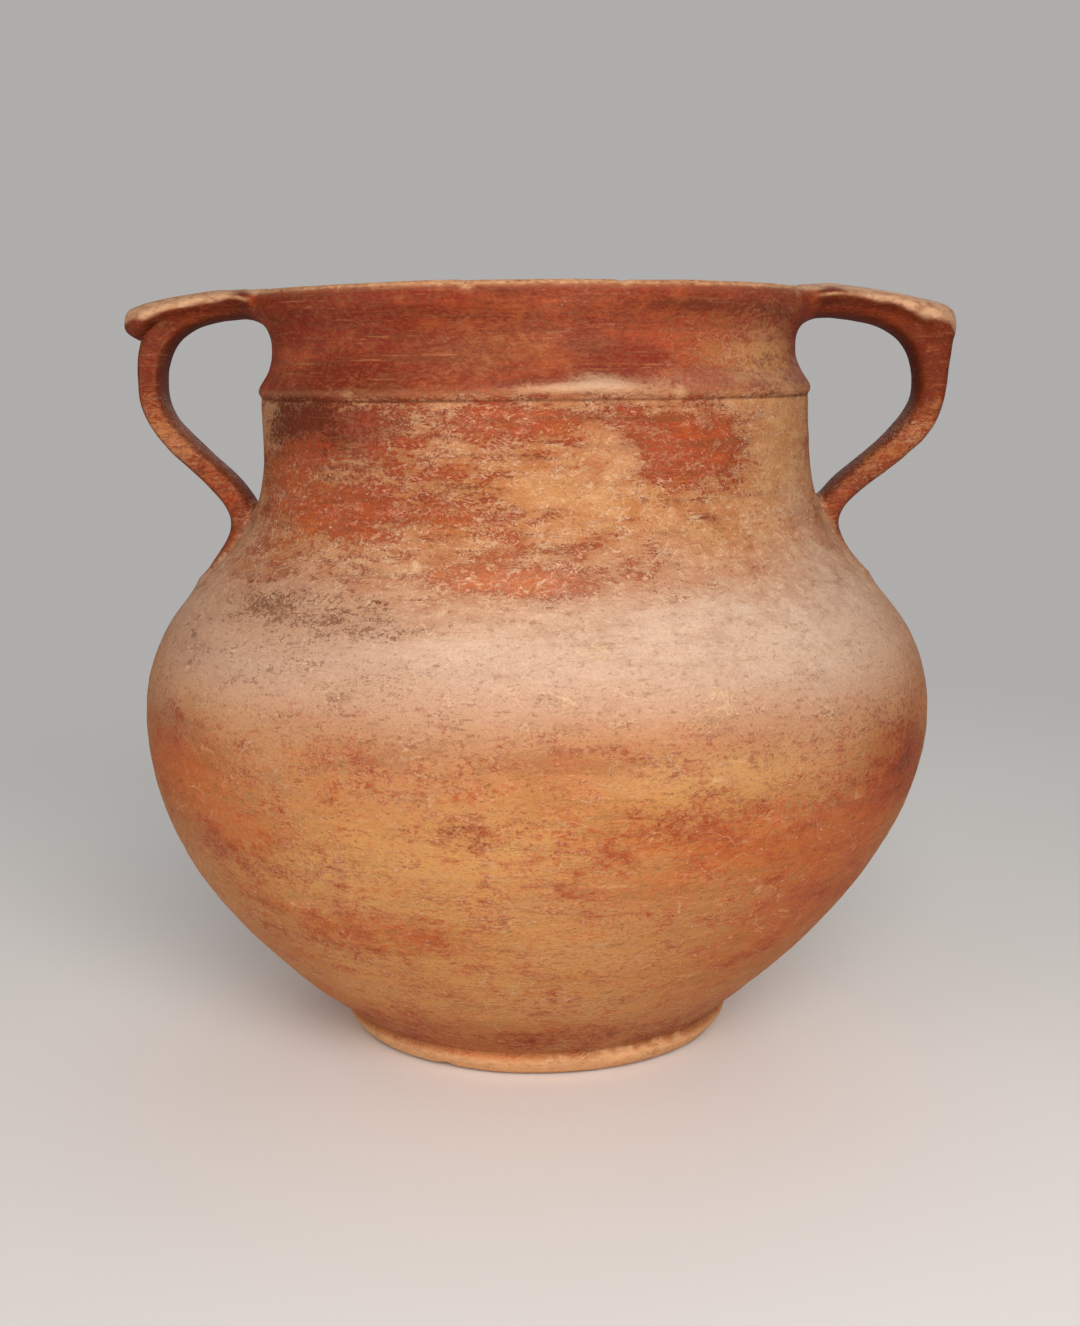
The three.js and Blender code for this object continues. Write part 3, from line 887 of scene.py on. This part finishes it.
class Wire:
    """A socket of a node tree. Sums and products of wires add the Math nodes for them."""

    tree = None

    def __init__(self, socket):
        self.socket = socket

    @classmethod
    def node(cls, kind, settings=None, inputs=None, output=0):
        """Adds a node: its settings first, then the values or wires of its sockets."""
        made = cls.tree.nodes.new(kind)
        for name, value in (settings or {}).items():
            setattr(made, name, value)
        for name, value in (inputs or {}).items():
            if isinstance(value, Wire):
                cls.tree.links.new(value.socket, made.inputs[name])
            else:
                made.inputs[name].default_value = value
        return cls(made.outputs[output])

    @staticmethod
    def maths(operation, first, second=0.0):
        return Wire.node("ShaderNodeMath", {"operation": operation}, {0: first, 1: second})

    def __add__(self, other):
        return self.maths("ADD", self, other)

    def __sub__(self, other):
        return self.maths("SUBTRACT", self, other)

    def __rsub__(self, other):
        return self.maths("SUBTRACT", other, self)

    def __mul__(self, other):
        return self.maths("MULTIPLY", self, other)

    __radd__ = __add__
    __rmul__ = __mul__

    def clamped(self):
        return Wire.node("ShaderNodeClamp", {}, {"Value": self})

    def step(self, low, high):
        """Rises smoothly from 0 to 1 as the value goes from low to high."""
        return Wire.node(
            "ShaderNodeMapRange",
            {"interpolation_type": "SMOOTHSTEP"},
            {"Value": self, "From Min": low, "From Max": high},
        )

    def near(self, level, within, beyond):
        """1 where the value is within one distance of the level, and 0 beyond another."""
        return 1.0 - self.maths("ABSOLUTE", self - level).step(within, beyond)


def empty_tree(owner):
    """Clears the node tree of a new material or world, and lets the wires work in it."""
    owner.use_nodes = True
    owner.node_tree.nodes.clear()
    Wire.tree = owner.node_tree


def finish_tree(kind, shader):
    """Joins the last shader to the output."""
    output = Wire.tree.nodes.new(kind)
    Wire.tree.links.new(shader.socket, output.inputs["Surface"])


def object_place():
    return Wire.node("ShaderNodeTexCoord", {}, {}, "Object")


def mixed(share, first, second):
    """Two colours, mixed by a share that runs from 0 to 1."""
    return Wire.node("ShaderNodeMix", {"data_type": "RGBA"}, {0: share, 6: first, 7: second}, 2)


def laid(place, stretch, shift=0.0):
    """Object coordinates squeezed along Z, so that a pattern lies in level streaks."""
    moved = {"Vector": place, "Scale": (1, 1, stretch), "Location": (shift, shift, shift)}
    return Wire.node("ShaderNodeMapping", {}, moved)


def fractal(place, scale, detail, roughness, distortion=0.0):
    """Noise in layers that get finer and weaker, with values round 0.5."""
    sockets = {"Vector": place, "Scale": scale, "Detail": detail, "Roughness": roughness}
    return Wire.node("ShaderNodeTexNoise", {}, {**sockets, "Distortion": distortion})


def stored_guides():
    """The guides that the mesh holds, each under its own name."""
    names = (*zones, "worn_edge", "pale_rest", "crevice", "crisp", "bare")
    return SimpleNamespace(
        **{name: Wire.node("ShaderNodeAttribute", {"attribute_name": name}, {}, "Fac") for name in names}
    )


def shared_patterns(place):
    """The noises that the finishes share, from broad to fine."""
    pattern = SimpleNamespace(
        broad=fractal(laid(place, 2.6), 16, 4, 0.55),
        mottle=fractal(laid(place, 1.6, 0.4), 80, 9, 0.74, 0.2),
        flake=fractal(laid(place, 3.2, 1.1), 62, 10, 0.66, 0.4),
        ragged=fractal(laid(place, 1.9, 2.1), 240, 7, 0.7, 0.6),
        gritty=fractal(laid(place, 1.7, 5.2), 520, 5, 0.62, 0.6),
        streak=fractal(laid(place, 10.0, 0.3), 34, 8, 0.66),
        comb=fractal(laid(place, 26.0, 0.7), 38, 6, 0.62),
        curl=fractal(laid(place, 1.7, 7.7), 150, 3, 0.55, 1.6),
        fine_curl=fractal(laid(place, 1.5, 9.1), 330, 3, 0.55, 1.8),
        scratch=fractal(laid(place, 1.3, 12.3), 42, 4, 0.5, 1.2),
        dust=fractal(laid(place, 1.2, 4.1), 1500, 3, 0.6),
    )
    pattern.sand = pattern.mottle * 0.4 + pattern.ragged * 0.35 + pattern.gritty * 0.25
    pattern.thinned = (pattern.gritty * 0.45 + pattern.comb * 0.1 + pattern.ragged * 0.45).step(0.38, 0.56)
    return pattern


def slip_left(pattern, where):
    """Above 0 where the slip holds and below 0 where it has flaked off."""
    worn = pattern.flake * 0.36 + pattern.streak * 0.16 + pattern.ragged * 0.3 + pattern.gritty * 0.18
    return (worn - 0.5) * 9.5 + where.red_slip * 2.0 - 1.0


def slip_cover(pattern, where, left):
    """How well slip covers the clay: a soft wash low down, and higher up a skin worn through in flakes."""
    mottled = pattern.mottle * 0.5 + pattern.ragged * 0.4 + pattern.streak * 0.1
    spread = (mottled - 0.5) * 11.0 + where.red_slip * 2.0 + where.deep_slip * 0.7 - 1.1
    spread = spread + (pattern.gritty - 0.5) * 4.0
    wash = spread.step(-1.2, 1.0) * (0.8 + where.deep_slip * 0.18)
    wash = wash * (0.74 + pattern.sand.step(0.4, 0.58) * 0.36)
    film = (left + 0.8 + (pattern.gritty - 0.5) * 4.0).step(-0.6, 0.6) * 0.38
    skin = film + left.step(-0.2, 0.2) * (0.3 + pattern.thinned * 0.3)
    return (wash + (skin - wash) * where.crisp).clamped()


def ground_clay(pattern, where):
    """Bare clay, buff to orange, in a fine grain."""
    clay = mixed(pattern.sand.step(0.42, 0.58), dark_buff, light_buff)
    paler = (pattern.broad * 0.5 + pattern.streak * 0.5).step(0.44, 0.6)
    clay = mixed(paler * 0.5, clay, pale_buff)
    yellower = (pattern.mottle + where.ochre * 0.8).step(0.6, 1.2)
    return mixed(yellower * 0.7, clay, yellow_buff)


def slip_colour(pattern, where):
    """Orange where the slip is thin, then red, then deep red, with brown streaks and brown patches. The
    deep red on the neck and the handles is partly painted shade.
    """
    tone = (pattern.broad - 0.5) * 1.2 + (pattern.mottle - 0.5) * 1.8 + (pattern.comb - 0.5) * 0.7
    tone = (tone + where.deep_slip).clamped()
    colour = mixed(tone.step(0.0, 0.5), orange_slip, brick_slip)
    colour = mixed(tone.step(0.45, 1.0), colour, deep_red)
    streaked = pattern.streak.step(0.5, 0.66) * (0.1 + where.crisp * 0.4 + where.deep_slip * 0.3)
    colour = mixed(streaked, colour, streak_brown)
    browned = ((where.ochre - 0.3) * where.deep_slip * 1.5).clamped()
    return mixed(browned, colour, patch_brown)


def with_slip(clay, pattern, where, left, slip):
    """Slip over the clay: where it is deep, streaked darker and rubbed thin, with a painted shadow just
    inside the edges of its flakes.
    """
    clay = mixed(slip, clay, slip_colour(pattern, where))
    darker = (pattern.streak * 0.6 + pattern.gritty * 0.2 + pattern.ragged * 0.2).step(0.48, 0.58)
    clay = mixed(darker * where.deep_slip * 0.5, clay, dark_streak)
    rubbed = (pattern.comb * 0.35 + pattern.ragged * 0.35 + pattern.mottle * 0.3).step(0.52, 0.6)
    clay = mixed(rubbed * where.deep_slip * 0.5, clay, rubbed_slip)
    # Painted shadow in a thin band just inside the edges of the flakes.
    brink = left.near(0.3, 0.05, 0.4) * where.crisp * pattern.thinned * 0.4
    return mixed(brink, clay, flake_edge_shadow)


def with_bloom_and_sheen(clay, pattern, where, slip):
    """A pale bloom with a painted sheen, mostly on the shoulder where the light falls, and thinner over
    slip.
    """
    grey = mixed(pattern.sand.step(0.42, 0.58), dull_bloom_sheen, bright_bloom_sheen)
    broken = 0.75 + (pattern.gritty * 0.5 + pattern.ragged * 0.5 - 0.5) * 1.2
    veil = (where.pale_bloom * 1.5 * broken * (1.0 - slip * 0.7)).clamped()
    return mixed(veil * 0.85, clay, grey)


def with_stains_and_shade(clay, pattern, where):
    """Brown stains in specks and flakes, and a brown wash that also paints shade under the lip and on the
    handles.
    """
    specked = (pattern.ragged * 0.4 + pattern.gritty * 0.3 + pattern.flake * 0.3 - 0.5) * 9.0
    specked = (specked + where.dark_stain * 2.0 - 1.1).step(-0.2, 0.25)
    clay = mixed(specked * (0.2 + where.crisp * 0.48), clay, stain_speck)
    return mixed(where.dark_stain * pattern.sand.step(0.4, 0.6) * 0.6, clay, stain_and_shade_brown)


def with_nicks(clay, pattern, where, left):
    """Cream curls and nicks where the slip has lifted, and scratches."""
    curls = pattern.curl.near(0.5, 0.018, 0.048) * pattern.ragged.step(0.49, 0.57)
    curls = curls + pattern.fine_curl.near(0.5, 0.012, 0.04) * pattern.mottle.step(0.47, 0.57)
    curls = curls * (0.5 + left.near(-0.1, 0.1, 0.7) * 0.5)
    scratches = pattern.scratch.near(0.5, 0.003, 0.012) * pattern.flake.step(0.5, 0.6)
    scratches = scratches * (0.35 + where.pale_bloom * 0.6)
    nicks = (pattern.gritty * 0.5 + pattern.ragged * 0.5).step(0.57, 0.63) * (0.4 + where.crisp * 0.4)
    pale = (curls * (0.26 + where.crisp * 0.56) + nicks + scratches).clamped()
    pale = pale * (1.0 - where.bare) * (1.0 - where.deep_slip * 0.95)
    return mixed(pale, clay, cream)


def with_lines(clay, pattern, where):
    """Level lines of the wheel, some pale and some dark."""
    pale = pattern.comb.step(0.58, 0.7) * pattern.streak.step(0.46, 0.58)
    clay = mixed(pale * (0.2 + where.deep_slip * 0.1), clay, pale_line)
    dark = (1.0 - pattern.comb).step(0.58, 0.7) * (1.0 - pattern.streak).step(0.46, 0.58)
    return mixed(dark * (0.08 + where.crisp * 0.2), clay, dark_line)


def with_dirt_and_shade(clay, pattern, where, dots):
    """Fine dark specks, dust, and painted shade in the hollows."""
    clay = mixed(dots * 0.45, clay, dark_dot)
    clay = mixed(pattern.dust.step(0.42, 0.7) * 0.2, clay, dust_brown)
    return mixed(where.crevice * 0.7, clay, hollow_shade)


def with_worn_edges_and_rest_highlight(clay, pattern, where):
    """Edges rubbed down to the pale clay, and a painted highlight on the tops of the thumb rests."""
    edge = where.worn_edge * (0.7 + (pattern.ragged * 0.5 + pattern.gritty * 0.5 - 0.5) * 4.0)
    clay = mixed(edge.clamped() * 0.8, clay, rubbed_edge)
    # Painted highlight on the tops of the thumb rests.
    rest = where.pale_rest * (0.85 + (pattern.ragged - 0.5) * 3.0)
    return mixed(rest.clamped() * 0.8, clay, rest_highlight_colour)


def with_bare_inside(clay, pattern, where):
    """Plainer clay inside and underneath, where no slip was laid."""
    plain = mixed(pattern.mottle.step(0.38, 0.62), inside_dark, inside_light)
    return mixed(where.bare * 0.6, clay, plain)


def slipped_clay():
    """The jar's one material: each finish is laid over the ones before it, where its guide says."""
    material = bpy.data.materials.new("slipped_clay")
    empty_tree(material)
    where = stored_guides()
    pattern = shared_patterns(object_place())
    left = slip_left(pattern, where)
    slip = slip_cover(pattern, where, left)
    dots = (1.0 - (pattern.gritty * 0.6 + pattern.ragged * 0.4)).step(0.57, 0.63)
    dots = dots * (1.0 - where.pale_bloom * 0.6)
    clay = ground_clay(pattern, where)
    clay = with_slip(clay, pattern, where, left, slip)
    clay = with_bloom_and_sheen(clay, pattern, where, slip)
    clay = with_stains_and_shade(clay, pattern, where)
    clay = with_nicks(clay, pattern, where, left)
    clay = with_lines(clay, pattern, where)
    clay = with_dirt_and_shade(clay, pattern, where, dots)
    clay = with_worn_edges_and_rest_highlight(clay, pattern, where)
    clay = with_bare_inside(clay, pattern, where)
    rough = 0.6 - slip * 0.08 + pattern.dust * 0.1 - where.pale_bloom * 0.1
    height = left.step(-0.4, 0.4) * 0.4 + pattern.mottle * 0.4 + pattern.comb * 0.3
    height = height + pattern.ragged * 0.6 + pattern.gritty * 0.5 - dots * 0.3
    bump = Wire.node("ShaderNodeBump", {}, {"Strength": 0.6, "Distance": 0.8 * mm, "Height": height})
    sockets = {"Base Color": clay, "Roughness": rough, "Normal": bump, "Specular IOR Level": 0.06}
    finish_tree("ShaderNodeOutputMaterial", Wire.node("ShaderNodeBsdfPrincipled", {}, sockets))
    return material


def jar():
    """The whole jar: the thrown body and both handles, with their relief, lean, guides and clay."""
    body = thrown_body()
    for name, handle in handles.items():
        for make in (strap, thumb_rest):
            join(body, make(f"{name}_{make.__name__}", handle))
    relief = surface_relief(body)
    lean(body)
    paint_guides(body, *relief)
    only(body)
    bpy.ops.object.shade_smooth()
    body.data.materials.clear()
    body.data.materials.append(slipped_clay())
    return body


body = jar()
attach(body, "root")
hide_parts("vase")


def fading_floor():
    """Plain pale paint that fades out far from the jar, so that the floor has no edge."""
    material = bpy.data.materials.new("floor_paint")
    empty_tree(material)
    reach = Wire.node("ShaderNodeVectorMath", {"operation": "LENGTH"}, {0: object_place()}, "Value")
    paint_sockets = {"Base Color": (0.84, 0.82, 0.8, 1), "Roughness": 0.85}
    paint = Wire.node("ShaderNodeBsdfPrincipled", {}, paint_sockets)
    clear = Wire.node("ShaderNodeBsdfTransparent")
    fade = Wire.node("ShaderNodeMixShader", {}, {0: reach.step(*floor_fade), 1: paint, 2: clear})
    finish_tree("ShaderNodeOutputMaterial", fade)
    return material


# A plain pale floor, which isn't part of the jar
floor_radius = 0.9
floor_fade = (0.22, 0.85)
bpy.ops.object.select_all(action="DESELECT")
bpy.ops.mesh.primitive_circle_add(vertices=96, radius=floor_radius, fill_type="NGON", location=(0, 0, 0))
floor = bpy.context.object
floor.name = "floor"
floor.data.materials.append(fading_floor())


def area_light(name, place, target, size, power, tint):
    """A soft rectangular lamp of a width and height in metres and a power in watts, facing its target."""
    lamp = bpy.data.lights.new(name, "AREA")
    lamp.shape = "RECTANGLE"
    lamp.size, lamp.size_y = size
    lamp.energy = power
    lamp.color = tint
    holder = bpy.data.objects.new(name, lamp)
    holder.location = place
    holder.rotation_euler = (Vector(target) - Vector(place)).to_track_quat("-Z", "Y").to_euler()
    bpy.context.scene.collection.objects.link(holder)


area_light("key", (0.2, -1.22, 0.66), (0, 0, 0.13), (0.8, 0.7), 17.8, (1, 0.97, 0.93))
area_light("back", (0.3, 1.35, 0.75), (0, 0, 0.12), (1.2, 0.8), 5, (1, 0.98, 0.95))
area_light("fill", (-1.2, -1.1, 0.4), (0, 0, 0.12), (1.0, 0.8), 6.5, (1, 0.96, 0.92))


def pale_studio():
    """A dim, even light all round, before which the camera sees a plain pale backdrop."""
    world = bpy.data.worlds.new("studio")
    empty_tree(world)
    seen = Wire.node("ShaderNodeLightPath", {}, {}, "Is Camera Ray")
    dim = Wire.node("ShaderNodeBackground", {}, {"Color": (0.95, 0.95, 0.97, 1), "Strength": 0.22})
    pale = Wire.node("ShaderNodeBackground", {}, {"Color": (0.43, 0.42, 0.41, 1), "Strength": 1.0})
    both = Wire.node("ShaderNodeMixShader", {}, {0: seen, 1: dim, 2: pale})
    finish_tree("ShaderNodeOutputWorld", both)
    return world


bpy.context.scene.world = pale_studio()
bpy.context.scene.view_settings.view_transform = "Standard"

# The camera looks down a little, from where the photograph was taken.
camera_place = (0.0012, -0.6757, 0.2431)
camera_dip = 9.13
view = bpy.data.cameras.new("camera")
view.lens = 50
view.sensor_width = 36
camera = bpy.data.objects.new("camera", view)
camera.location = camera_place
camera.rotation_euler = (math.radians(90 - camera_dip), 0, 0)
bpy.context.scene.collection.objects.link(camera)
bpy.context.scene.camera = camera
